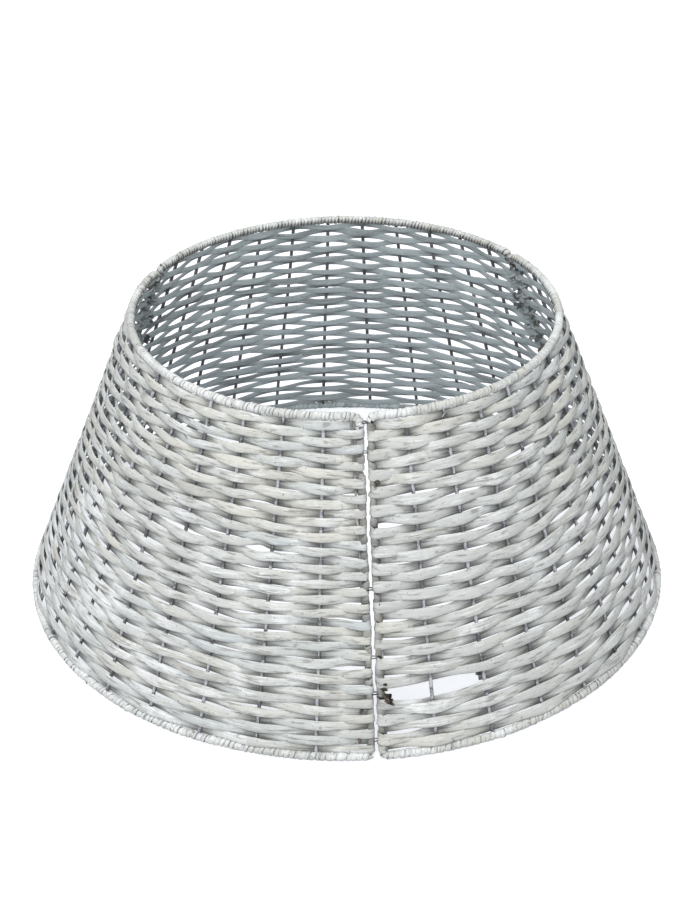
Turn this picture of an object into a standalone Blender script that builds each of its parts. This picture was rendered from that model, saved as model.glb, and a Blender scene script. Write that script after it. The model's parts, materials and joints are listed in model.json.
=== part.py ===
"""A woven willow collar that stands round the foot of a Christmas tree.

Three alike panels, each a third of a cone, stand in a ring and hide the tree's stand. A panel is a bent
wire frame with straight wire stakes between its rims. Willow strips are woven over and under the stakes
and turn back round the frame's edge wires, and a strip wound round each rim binds it. Wire ties join
the panels at three slanted seams. The back panel is the fixed one. The other two swing outwards on the
back panel's edge wires once the front ties are undone.

Metres, +Z up, the front towards -Y. The origin is on the floor, on the cone's axis.
"""

import math

import bmesh
import bpy
import numpy as np
from mathutils import Euler, Matrix, Vector

# The cone, measured to the centre lines of its rim wires.
BASE_RIM_RADIUS = 0.345
TOP_RIM_RADIUS = 0.222
RIM_RISE = 0.312

# Wire.
FRAME_WIRE_DIAMETER = 0.003
STAKE_DIAMETER = 0.003
TIE_DIAMETER = 0.0016
CORNER_RADIUS = 0.0045

# Willow. Each woven strip stands for two rows of the real, narrower strip.
STRIP_WIDTH = 0.0138
STRIP_THICKNESS = 0.0018
ROW_GAP = 0.0006
BINDING_THICKNESS = 0.0022
BINDING_TURN_GAP = 0.0012

# Gaps and flats.
SEAM_GAP = 0.0034
CLEARANCE = 0.0003
FLAT_DEPTH = 0.0005
CUTTER_DEPTH = 0.02

# Counts.
STAKES_PER_PANEL = 11
TOP_BINDING_TURNS = 12
BASE_BINDING_TURNS = 18
TOP_RIM_SEGMENTS = 16
BASE_RIM_SEGMENTS = 24
CORNER_SEGMENTS = 3
BINDING_SIDES = 6
TURN_CORNERS = 4
TIE_ARC_SEGMENTS = 4
GAP_SAMPLES = 4

# Where one strand of weave gives way to the next, as shares of the rows from the base up.
STRAND_END_SHARES = {"lower": 0.2, "middle": 0.5, "upper": 1.0}

PANEL_ANGLE = math.radians(120)
HALF_PANEL = PANEL_ANGLE / 2
BACK_AZIMUTH = math.radians(90)
PANEL_AZIMUTHS = {
    "back": BACK_AZIMUTH,
    "left": BACK_AZIMUTH + PANEL_ANGLE,
    "right": BACK_AZIMUTH - PANEL_ANGLE,
}
SEAM_AZIMUTHS = {
    "right_hinge": BACK_AZIMUTH - HALF_PANEL,
    "left_hinge": BACK_AZIMUTH + HALF_PANEL,
    "front": BACK_AZIMUTH + math.pi,
}

LEAN = math.atan2(BASE_RIM_RADIUS - TOP_RIM_RADIUS, RIM_RISE)
SLANT = math.hypot(BASE_RIM_RADIUS - TOP_RIM_RADIUS, RIM_RISE)
FRAME_WIRE_RADIUS = FRAME_WIRE_DIAMETER / 2
STAKE_RADIUS = STAKE_DIAMETER / 2
TIE_RADIUS = TIE_DIAMETER / 2

# A frame's edge wire lies this far from the seam, so that the strips that turn round it leave SEAM_GAP.
EDGE_OFFSET = SEAM_GAP / 2 + FRAME_WIRE_RADIUS + CLEARANCE + STRIP_THICKNESS
TIE_SLOT = TIE_DIAMETER + 2 * CLEARANCE

COLOURS = {
    "frame_wire": ((0.42, 0.42, 0.43), 0.45, 0.8),
    "stake_wire": ((0.38, 0.38, 0.40), 0.5, 0.7),
    "tie_wire": ((0.10, 0.09, 0.09), 0.55, 0.6),
    "woven_willow": ((0.66, 0.66, 0.62), 0.8, 0.0),
    "wound_willow": ((0.70, 0.69, 0.65), 0.8, 0.0),
}


def chord_sag(radius, length):
    """How far a straight stretch of this length falls short of an arc."""
    return radius - math.sqrt(radius**2 - (length / 2) ** 2)


def edge_angle(rim_radius):
    """The angle at the cone's axis between a seam and the start of a panel's straight rim."""
    return (EDGE_OFFSET + CORNER_RADIUS + CLEARANCE) / rim_radius


def binding_pitch(rim_radius, turns):
    arc = rim_radius * (PANEL_ANGLE - 2 * edge_angle(rim_radius))
    return (arc + BINDING_TURN_GAP) / (turns + 1)


def binding_bore(rim_radius, turns, segments):
    """The inner reach of a rim's binding: wide enough for its straight stretches and the wire's."""
    wire_chord = rim_radius * PANEL_ANGLE / segments
    sag = max(chord_sag(rim_radius, wire_chord), chord_sag(rim_radius, binding_pitch(rim_radius, turns)))
    return FRAME_WIRE_RADIUS + CLEARANCE + sag


TOP_BORE = binding_bore(TOP_RIM_RADIUS, TOP_BINDING_TURNS, TOP_RIM_SEGMENTS)
BASE_BORE = binding_bore(BASE_RIM_RADIUS, BASE_BINDING_TURNS, BASE_RIM_SEGMENTS)
BASE_RIM_HEIGHT = BASE_BORE + BINDING_THICKNESS - FLAT_DEPTH


def rim_reach(bore):
    """How far up or down the slope the binding, or the frame's bent corner, reaches from the rim wire."""
    return max((bore + BINDING_THICKNESS) / math.cos(math.pi / BINDING_SIDES), CORNER_RADIUS)


def on_cone(azimuth, slant):
    """The point on the cone's middle surface, this far up the slope from the base rim wire."""
    radius = BASE_RIM_RADIUS - slant * math.sin(LEAN)
    height = BASE_RIM_HEIGHT + slant * math.cos(LEAN)
    return Vector((radius * math.cos(azimuth), radius * math.sin(azimuth), height))


def cone_frame(azimuth):
    """Unit vectors at an azimuth: outwards from the wall, along the row, and up the slope."""
    turn = Euler((0, -LEAN, azimuth)).to_matrix()
    return turn.col[0].copy(), turn.col[1].copy(), turn.col[2].copy()


def edge_point(side, slant, outwards, beyond):
    """A point near a panel's edge wire: side is -1 or 1, beyond is towards the seam from the wire."""
    normal, along, _ = cone_frame(side * HALF_PANEL)
    return on_cone(side * HALF_PANEL, slant) + normal * outwards + along * side * (beyond - EDGE_OFFSET)


def row_layout():
    """The strands of a panel as lists of row heights up the slope, and the heights of the tie slots."""
    lowest = rim_reach(BASE_BORE) + ROW_GAP
    highest = SLANT - rim_reach(TOP_BORE) - TIE_SLOT
    spare_slots = (len(STRAND_END_SHARES) - 1) * (TIE_SLOT - ROW_GAP)
    room = highest - lowest - spare_slots + ROW_GAP
    row_count = int(room / (STRIP_WIDTH + ROW_GAP))
    pitch = STRIP_WIDTH + ROW_GAP + (room - row_count * (STRIP_WIDTH + ROW_GAP)) / row_count
    strands, slots = {}, []
    edge, first = lowest, 0
    for name, share in STRAND_END_SHARES.items():
        last = round(share * row_count)
        middle = edge + STRIP_WIDTH / 2
        strands[name] = [(row, middle + (row - first) * pitch) for row in range(first, last)]
        top = strands[name][-1][1] + STRIP_WIDTH / 2
        slots.append(top + TIE_SLOT / 2)
        edge, first = top + TIE_SLOT, last
    return strands, slots


STRANDS, TIE_HEIGHTS = row_layout()


def clear_scene():
    for obj in list(bpy.data.objects):
        bpy.data.objects.remove(obj, do_unlink=True)


def make_material(name):
    colour, roughness, metallic = COLOURS[name]
    material = bpy.data.materials.new(name)
    material.use_nodes = True
    shader = material.node_tree.nodes["Principled BSDF"]
    shader.inputs["Base Color"].default_value = (*colour, 1)
    shader.inputs["Roughness"].default_value = roughness
    shader.inputs["Metallic"].default_value = metallic
    material.diffuse_color = (*colour, 1)
    return material


def wire_curve(name, points, diameter, material, cyclic=False):
    """A six-sided wire through these points."""
    curve = bpy.data.curves.new(name, "CURVE")
    curve.dimensions = "3D"
    curve.bevel_depth = diameter / 2
    curve.bevel_resolution = 1
    curve.use_fill_caps = True
    spline = curve.splines.new("POLY")
    spline.points.add(len(points) - 1)
    for spline_point, point in zip(spline.points, points):
        spline_point.co = (*point, 1)
    spline.use_cyclic_u = cyclic
    curve.materials.append(material)
    return curve


def strip_mesh(name, sections, material):
    """An open strip: each section is its lower and its upper edge point."""
    bm = bmesh.new()
    pairs = [[bm.verts.new(point) for point in section] for section in sections]
    for (low, high), (next_low, next_high) in zip(pairs, pairs[1:]):
        bm.faces.new((low, next_low, next_high, high))
    mesh = bpy.data.meshes.new(name)
    bm.to_mesh(mesh)
    bm.free()
    mesh.materials.append(material)
    return mesh


def thicken(obj, thickness):
    solidify = obj.modifiers.new("strip thickness", "SOLIDIFY")
    solidify.thickness = thickness
    solidify.offset = 0
    solidify.use_even_offset = True
    solidify.use_quality_normals = True


def corner_bend(corner, arriving, leaving):
    """Points of a quarter bend at a corner, between two directions of travel."""
    points = []
    for step in range(CORNER_SEGMENTS + 1):
        angle = math.pi / 2 * step / CORNER_SEGMENTS
        before = arriving * CORNER_RADIUS * (1 - math.sin(angle))
        after = leaving * CORNER_RADIUS * (1 - math.cos(angle))
        points.append(corner - before + after)
    return points


def rim_arc(radius, slant, segments):
    reach = HALF_PANEL - edge_angle(radius)
    return [on_cone(azimuth, slant) for azimuth in np.linspace(-reach, reach, segments + 1)[1:-1]]


def frame_points():
    """The frame's wire, once round: base rim, one edge up, top rim back, the other edge down."""
    _, first_along, first_up = cone_frame(-HALF_PANEL)
    _, last_along, last_up = cone_frame(HALF_PANEL)
    return (
        rim_arc(BASE_RIM_RADIUS, 0, BASE_RIM_SEGMENTS)
        + corner_bend(edge_point(1, 0, 0, 0), last_along, last_up)
        + corner_bend(edge_point(1, SLANT, 0, 0), last_up, -last_along)
        + rim_arc(TOP_RIM_RADIUS, SLANT, TOP_RIM_SEGMENTS)[::-1]
        + corner_bend(edge_point(-1, SLANT, 0, 0), -first_along, -first_up)
        + corner_bend(edge_point(-1, 0, 0, 0), -first_up, first_along)
    )


def turn_sections(side, face, low_row, high_row, half_width):
    """The strip's turn round an edge wire, from the wall's face that it arrives on to the other."""
    up = cone_frame(side * HALF_PANEL)[2]
    corner_angle = math.pi / TURN_CORNERS
    reach = (FRAME_WIRE_RADIUS + CLEARANCE + STRIP_THICKNESS / 2) / math.cos(corner_angle / 2)
    sections = []
    for corner in range(TURN_CORNERS):
        angle = math.pi / 2 - corner_angle * (corner + 0.5)
        slant = low_row + (high_row - low_row) * corner / (TURN_CORNERS - 1)
        centre = edge_point(side, slant, face * reach * math.sin(angle), reach * math.cos(angle))
        sections.append((centre - up * half_width, centre + up * half_width))
    return sections


def strand_sections(rows):
    """One strand: row after row, over and under the stakes, turning round the edge wires."""
    half_width = STRIP_WIDTH / 2
    offset = STAKE_RADIUS + CLEARANCE + STRIP_THICKNESS / 2
    stakes = range(1, STAKES_PER_PANEL + 1)
    spacing = PANEL_ANGLE / (STAKES_PER_PANEL + 1)
    sections = []
    for step, (row, slant) in enumerate(rows):
        side = 1 if step % 2 == 0 else -1
        if step == 0:
            face = 1 if row % 2 == 0 else -1
            sections += turn_sections(-side, face, slant, slant, half_width)[:1]
        for stake in stakes if side == 1 else reversed(stakes):
            azimuth = spacing * stake - HALF_PANEL
            normal, _, up = cone_frame(azimuth)
            face = 1 if (row + stake) % 2 == 0 else -1
            centre = on_cone(azimuth, slant) + normal * face * offset
            sections.append((centre - up * half_width, centre + up * half_width))
        last_crossing = STAKES_PER_PANEL + 1 if side == 1 else 0
        face = 1 if (row + last_crossing) % 2 == 0 else -1
        if step + 1 < len(rows):
            sections += turn_sections(side, face, slant, rows[step + 1][1], half_width)
        else:
            sections += turn_sections(side, face, slant, slant, half_width)[:1]
    return sections


def binding_sections(rim_radius, slant, turns, bore):
    """A rim's binding: a strip wound round the rim wire, as its left and right edge points."""
    pitch = binding_pitch(rim_radius, turns)
    half_width = (pitch - BINDING_TURN_GAP) / 2
    reach = (bore + BINDING_THICKNESS / 2) / math.cos(math.pi / BINDING_SIDES)
    first = edge_angle(rim_radius) - HALF_PANEL + half_width / rim_radius
    height = on_cone(0, slant).z
    sections = []
    for step in range(turns * BINDING_SIDES + 1):
        angle = math.tau * step / BINDING_SIDES
        azimuth = first + pitch * step / BINDING_SIDES / rim_radius
        radius = rim_radius + reach * math.cos(angle)
        level = height + reach * math.sin(angle)
        edges = (azimuth - half_width / rim_radius, azimuth + half_width / rim_radius)
        sections.append([Vector((radius * math.cos(a), radius * math.sin(a), level)) for a in edges])
    return sections


def least_gap(sections):
    """The least distance between one edge of a wound strip and the other edge of the next turn."""
    edges = np.array([[tuple(point) for point in section] for section in sections])
    steps = np.arange(GAP_SAMPLES) / GAP_SAMPLES
    dense = [edges[:-1] + (edges[1:] - edges[:-1]) * step for step in steps]
    dense = np.stack(dense, axis=1).reshape(-1, 2, 3)
    apart = dense[:, None, 1] - dense[None, :, 0]
    return float(np.linalg.norm(apart, axis=2).min())


def hinge_matrix(seam):
    """A seam's hinge axis: the back panel's edge wire, with local Z up the slope."""
    azimuth = SEAM_AZIMUTHS[seam]
    side = 1 if seam == "right_hinge" else -1
    along = cone_frame(azimuth)[1]
    place = on_cone(azimuth, 0) + along * side * EDGE_OFFSET
    return Matrix.Translation(place) @ Euler((0, -LEAN, azimuth)).to_matrix().to_4x4()


def add_hinge(collection, seam):
    empty = bpy.data.objects.new(seam, None)
    collection.objects.link(empty)
    empty.matrix_world = hinge_matrix(seam)
    return empty


def place(collection, name, data, parent, location=(0, 0, 0), rotation=(0, 0, 0)):
    """Adds an object at a place in the world, carried by its panel's hinge if it has one."""
    obj = bpy.data.objects.new(name, data)
    collection.objects.link(obj)
    obj.location = location
    obj.rotation_euler = rotation
    if parent:
        obj.parent = parent
        obj.matrix_parent_inverse = parent.matrix_world.inverted()
    return obj


def make_floor_cutter(collection):
    """What lies under the floor, to cut the base bindings flat."""
    reach = BASE_RIM_RADIUS + rim_reach(BASE_BORE) + CUTTER_DEPTH
    bm = bmesh.new()
    bmesh.ops.create_cube(bm, size=1)
    bmesh.ops.scale(bm, vec=(2 * reach, 2 * reach, CUTTER_DEPTH), verts=bm.verts)
    bmesh.ops.translate(bm, vec=(0, 0, -CUTTER_DEPTH / 2), verts=bm.verts)
    mesh = bpy.data.meshes.new("floor_cutter")
    bm.to_mesh(mesh)
    bm.free()
    cutter = bpy.data.objects.new("floor_cutter", mesh)
    collection.objects.link(cutter)
    cutter.hide_render = True
    cutter.display_type = "WIRE"
    return cutter


def cut_flat(obj, cutter):
    boolean = obj.modifiers.new("flat to stand on", "BOOLEAN")
    boolean.operation = "DIFFERENCE"
    boolean.object = cutter


def make_panel_shapes(materials):
    """The curves and meshes that the three panels share, drawn for a panel centred on +X."""
    top = binding_sections(TOP_RIM_RADIUS, SLANT, TOP_BINDING_TURNS, TOP_BORE)
    base = binding_sections(BASE_RIM_RADIUS, 0, BASE_BINDING_TURNS, BASE_BORE)
    for name, sections in (("top binding", top), ("base binding", base)):
        print(f"{name}: least gap to itself {least_gap(sections) * 1000:.2f} mm")
    stake_ends = (rim_reach(BASE_BORE) + CLEARANCE, SLANT - rim_reach(TOP_BORE) - CLEARANCE)
    stake_points = [Vector((0, 0, end)) for end in stake_ends]
    frame_wire, stake_wire = materials["frame_wire"], materials["stake_wire"]
    shapes = {
        "frame": wire_curve("frame", frame_points(), FRAME_WIRE_DIAMETER, frame_wire, cyclic=True),
        "stake": wire_curve("stake", stake_points, STAKE_DIAMETER, stake_wire),
        "top_binding": strip_mesh("top_binding", top, materials["wound_willow"]),
        "base_binding": strip_mesh("base_binding", base, materials["wound_willow"]),
    }
    for strand, rows in STRANDS.items():
        name = f"{strand}_strand"
        shapes[name] = strip_mesh(name, strand_sections(rows), materials["woven_willow"])
    return shapes


def make_panel(collection, panel, parent, shapes, cutter):
    azimuth = PANEL_AZIMUTHS[panel]
    turn = (0, 0, azimuth)
    place(collection, f"{panel}_frame", shapes["frame"], parent, rotation=turn)
    spacing = PANEL_ANGLE / (STAKES_PER_PANEL + 1)
    for stake in range(1, STAKES_PER_PANEL + 1):
        stake_azimuth = azimuth - HALF_PANEL + spacing * stake
        foot = on_cone(stake_azimuth, 0)
        slope = (0, -LEAN, stake_azimuth)
        place(collection, f"{panel}_stake_{stake:02d}", shapes["stake"], parent, foot, slope)
    for strand in STRANDS:
        shape = shapes[f"{strand}_strand"]
        weave = place(collection, f"{panel}_weave_{strand}", shape, parent, rotation=turn)
        thicken(weave, STRIP_THICKNESS)
    for rim in ("top", "base"):
        shape = shapes[f"{rim}_binding"]
        binding = place(collection, f"{panel}_{rim}_binding", shape, parent, rotation=turn)
        thicken(binding, BINDING_THICKNESS)
        if rim == "base":
            cut_flat(binding, cutter)


def tie_arc(side):
    """A tie's half loop round one edge wire, in the seam's own frame: X outwards, Y along the row."""
    step = math.pi / TIE_ARC_SEGMENTS
    reach = (FRAME_WIRE_RADIUS + CLEARANCE + TIE_RADIUS) / math.cos(step / 2)
    points = []
    for index in range(TIE_ARC_SEGMENTS + 1):
        angle = side * (step * index - math.pi / 2)
        from_seam = EDGE_OFFSET + reach * math.cos(angle)
        points.append(Vector((reach * math.sin(angle), side * from_seam, 0)))
    return points


def make_ties(collection, parents, materials):
    """Closed loops at the two hinged seams, and loops left open towards the left panel at the front."""
    wire = materials["tie_wire"]
    closed = wire_curve("hinge_tie", tie_arc(1) + tie_arc(-1), TIE_DIAMETER, wire, cyclic=True)
    arc = tie_arc(1)
    short_of_left_wire = TIE_RADIUS - EDGE_OFFSET
    arm_ends = [Vector((point.x, short_of_left_wire, 0)) for point in (arc[0], arc[-1])]
    opened = wire_curve("front_tie", [arm_ends[0], *arc, arm_ends[1]], TIE_DIAMETER, wire)
    carriers = {"left_hinge": "left", "right_hinge": "right", "front": "right"}
    for seam, azimuth in SEAM_AZIMUTHS.items():
        shape = opened if seam == "front" else closed
        for number, slant in enumerate(TIE_HEIGHTS, start=1):
            spot = on_cone(azimuth, slant)
            turn = (0, -LEAN, azimuth)
            place(collection, f"{seam}_tie_{number}", shape, parents[carriers[seam]], spot, turn)


def main():
    clear_scene()
    collar = bpy.data.collections.new("tree_collar")
    cutters = bpy.data.collections.new("cutters")
    bpy.context.scene.collection.children.link(collar)
    bpy.context.scene.collection.children.link(cutters)
    materials = {name: make_material(name) for name in COLOURS}
    cutter = make_floor_cutter(cutters)
    parents = {
        "back": None,
        "left": add_hinge(collar, "left_hinge"),
        "right": add_hinge(collar, "right_hinge"),
    }
    bpy.context.view_layer.update()
    shapes = make_panel_shapes(materials)
    for panel, parent in parents.items():
        make_panel(collar, panel, parent, shapes, cutter)
    make_ties(collar, parents, materials)


main()
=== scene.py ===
"""The looks of a willow tree collar: three woven panels in a ring, tied together at slanted seams.

Every place comes from the frame: the cone from a hinge and a rim, and the ties from their own boxes. A
panel's weave is a willow strand that runs over and under the stakes and is wound back round the edge wires.
"""

import json
import math
import random

import bpy
from mathutils import Euler, Matrix, Vector


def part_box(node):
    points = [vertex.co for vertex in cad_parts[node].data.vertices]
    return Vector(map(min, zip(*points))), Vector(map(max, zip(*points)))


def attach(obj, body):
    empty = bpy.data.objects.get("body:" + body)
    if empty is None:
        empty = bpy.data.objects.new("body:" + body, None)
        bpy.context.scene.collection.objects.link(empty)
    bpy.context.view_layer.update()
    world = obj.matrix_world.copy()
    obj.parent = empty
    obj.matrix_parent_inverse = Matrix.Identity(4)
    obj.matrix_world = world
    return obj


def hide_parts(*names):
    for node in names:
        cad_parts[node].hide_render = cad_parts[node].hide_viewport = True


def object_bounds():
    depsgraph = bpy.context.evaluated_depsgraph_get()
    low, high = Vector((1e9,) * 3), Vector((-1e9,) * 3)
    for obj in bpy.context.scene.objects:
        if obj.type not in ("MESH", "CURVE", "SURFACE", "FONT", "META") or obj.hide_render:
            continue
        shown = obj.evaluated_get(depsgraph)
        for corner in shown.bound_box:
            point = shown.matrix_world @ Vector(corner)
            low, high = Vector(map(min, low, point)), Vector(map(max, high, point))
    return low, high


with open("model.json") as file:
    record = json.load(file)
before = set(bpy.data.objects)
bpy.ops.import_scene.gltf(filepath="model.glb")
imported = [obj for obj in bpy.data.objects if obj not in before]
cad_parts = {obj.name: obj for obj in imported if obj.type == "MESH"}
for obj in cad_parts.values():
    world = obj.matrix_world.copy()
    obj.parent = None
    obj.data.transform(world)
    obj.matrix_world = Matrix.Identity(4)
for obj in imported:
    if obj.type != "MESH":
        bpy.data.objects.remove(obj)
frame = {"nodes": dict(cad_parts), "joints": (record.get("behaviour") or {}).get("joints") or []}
CAD_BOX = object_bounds()

# The cone, from the right hinge and the back panel's top rim.
PANEL_ANGLE = math.radians(120)
BACK_AZIMUTH = math.radians(90)
PANEL_AZIMUTHS = {
    "back": BACK_AZIMUTH,
    "left": BACK_AZIMUTH + PANEL_ANGLE,
    "right": BACK_AZIMUTH - PANEL_ANGLE,
}
SEAM_AZIMUTHS = {
    "right_hinge": BACK_AZIMUTH - PANEL_ANGLE / 2,
    "left_hinge": BACK_AZIMUTH + PANEL_ANGLE / 2,
    "front": BACK_AZIMUTH + math.pi,
}
HINGE = next(joint for joint in frame["joints"] if joint["name"] == "right_panel_hinge")
HINGE_FOOT = Vector(HINGE["pos_m"])
HINGE_TURN = Matrix.Rotation(-SEAM_AZIMUTHS["right_hinge"], 3, "Z")
BASE_RIM_RADIUS, EDGE_OFFSET, BASE_RIM_HEIGHT = HINGE_TURN @ HINGE_FOOT
LEAN = math.acos(abs(HINGE["axis"][2]))
TOP_BINDING_LOW, TOP_BINDING_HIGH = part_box("back_top_binding")
TOP_RIM_HEIGHT = (TOP_BINDING_LOW.z + TOP_BINDING_HIGH.z) / 2
TOP_RIM_RADIUS = BASE_RIM_RADIUS - (TOP_RIM_HEIGHT - BASE_RIM_HEIGHT) * math.tan(LEAN)
SLANT = (TOP_RIM_HEIGHT - BASE_RIM_HEIGHT) / math.cos(LEAN)
STAKES_PER_PANEL = sum(name.startswith("back_stake") for name in frame["nodes"])
SPANS = STAKES_PER_PANEL + 1

# Wire.
FRAME_WIRE_RADIUS = 0.0015
STAKE_POINTS = 40
STAKE_SIDES = 10
TIE_RADIUS = 0.0007
THIN_TIE_RADIUS = TIE_RADIUS * 0.75
TIE_REACH = 0.0049
TIE_REACH_IN_FRONT = 0.0027
CORNER_RADIUS = 0.0045
TIE_DRIFT = 0.001
TIE_NARROWER = 0.001
ARM_SHORTER = 0.0005
ARM_SPREAD = (0.001, 0.0008)
TAIL_LENGTH = 0.011
TAIL_DROOP = 0.004
TAIL_ASIDE = 0.002
TAIL_TURNS = 3

# Twigs and fibres. The steps are those of each path, here and for the wires.
LUMP_RADIUS = 0.0019
LUMP_INSET = 0.0012
LUMP_SUNK = 0.001
SPLINTER_RADIUS = 0.0004
SPLINTER_DEPTH = 0.0035
SPLINTERS_ANYWHERE = 14
RIM_STEPS = 60
CORNER_STEPS = 6
TIE_STEPS = 10
TAIL_STEPS = 30
TWIG_STEPS = 4
LUMP_STEPS = 12
SPLINTER_STEPS = 5

# Woven willow.
GAP_FADE_ROWS = 2.2
CALM_ROWS = 3
EDGE_WRAPS = 1.5
STRIP_SIDES = 10
SPAN_SAMPLES = 10
TURN_SAMPLES = 22
SPLICE_SAMPLES = 16
GRAIN_PER_SPAN = 0.05
NO_BREAK = -9.0

# The wound rims.
TURN_POINTS = 12
GRAIN_PER_TURN = 0.03
CORE_POINTS = 200
CORE_SIDES = 8

# The camera, from the outline of both rims in the photograph.
PHOTO_HEIGHT = 920
FOCAL_PIXELS = 2000
SENSOR_MM = 36.0
CAMERA_DISTANCE = 1.8566
CAMERA_HEIGHT = 1.2675
CAMERA_AZIMUTH = math.radians(265.3)
CAMERA_PITCH = math.radians(-31.449)
CAMERA_ROLL = math.radians(-0.444)
CAMERA_SIDE = -0.00085


def tint(red, green, blue):
    """A colour given as it looks on a screen, 0 to 255, as linear light."""
    return (*[((part / 255 + 0.055) / 1.055) ** 2.4 for part in (red, green, blue)], 1)


def operator(operation, swapped=False):
    """A method that adds the node of one kind of maths on two values."""
    def calculate(first, second):
        values = (second, first) if swapped else (first, second)
        return first.graph.maths(operation, *values)

    return calculate


class Socket:
    """One output of a node, so that maths on it reads as a Python expression."""

    def __init__(self, graph, output):
        self.graph = graph
        self.output = output

    __add__ = __radd__ = operator("ADD")
    __sub__ = operator("SUBTRACT")
    __rsub__ = operator("SUBTRACT", swapped=True)
    __mul__ = __rmul__ = operator("MULTIPLY")
    __truediv__ = operator("DIVIDE")
    __pow__ = operator("POWER")
    __mod__ = operator("FLOORED_MODULO")

    def __abs__(self):
        return self.apply("ABSOLUTE")

    def __neg__(self):
        return self * -1

    def apply(self, operation, *others):
        """Another kind of maths by its name, such as FLOOR or CROSS_PRODUCT."""
        return self.graph.maths(operation, self, *others)

    def cosine(self):
        return self.apply("COSINE")

    def sine(self):
        return self.apply("SINE")

    def within(self, low, high):
        return self.apply("MAXIMUM", low).apply("MINIMUM", high)

    def bent(self, power):
        """The same sign, with the size raised to a power."""
        return self.apply("SIGN") * abs(self) ** power

    def parts(self):
        split = self.graph.node("ShaderNodeSeparateXYZ", inputs={"Vector": self})
        return [Socket(self.graph, output) for output in split.output.node.outputs]


class Graph:
    """A node tree under construction."""

    def __init__(self, tree):
        self.tree = tree

    def node(self, kind, settings=None, inputs=None, output=0):
        """Adds a node: its settings, then its sockets by name or number. Gives one of its outputs."""
        node = self.tree.nodes.new(kind)
        for name, value in (settings or {}).items():
            setattr(node, name, value)
        sockets = [socket for socket in node.inputs if not socket.is_unavailable]
        for key, value in (inputs or {}).items():
            by_number = isinstance(key, int)
            socket = sockets[key] if by_number else next(s for s in sockets if s.name == key)
            if isinstance(value, Socket):
                self.tree.links.new(value.output, socket)
            else:
                socket.default_value = value
        outputs = [socket for socket in node.outputs if not socket.is_unavailable]
        found = outputs[output] if isinstance(output, int) else node.outputs[output]
        return Socket(self, found)

    def maths(self, operation, *values):
        """Adds a Math node, or a Vector Math node where a value is a vector."""
        is_vector = [
            isinstance(value, Vector) or isinstance(value, Socket) and value.output.type == "VECTOR"
            for value in values
        ]
        if not any(is_vector):
            return self.node("ShaderNodeMath", {"operation": operation}, dict(enumerate(values)))
        if operation == "MULTIPLY" and not all(is_vector):
            vector, scale = values if is_vector[0] else values[::-1]
            sockets = {"Vector": vector, "Scale": scale}
            return self.node("ShaderNodeVectorMath", {"operation": "SCALE"}, sockets)
        return self.node("ShaderNodeVectorMath", {"operation": operation}, dict(enumerate(values)))

    def vector(self, x, y, z):
        return self.node("ShaderNodeCombineXYZ", inputs={"X": x, "Y": y, "Z": z})

    def noise(self, place, scale=1.0, detail=2.0, roughness=0.5, distortion=0.0):
        """Soft noise about 0, mostly within -0.25 to 0.25, at a place or its three parts."""
        place = self.vector(*place) if isinstance(place, tuple) else place
        sockets = {
            "Vector": place, "Scale": scale, "Detail": detail,
            "Roughness": roughness, "Distortion": distortion,
        }
        return self.node("ShaderNodeTexNoise", inputs=sockets) - 0.5

    def scatter(self, place):
        """A random number from 0 to 1 for each place."""
        return self.node("ShaderNodeTexWhiteNoise", {"noise_dimensions": "3D"}, {"Vector": place})

    def blend(self, factor, first, second):
        return self.node("ShaderNodeMix", {"data_type": "RGBA"}, {"Factor": factor, "A": first, "B": second})


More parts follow.
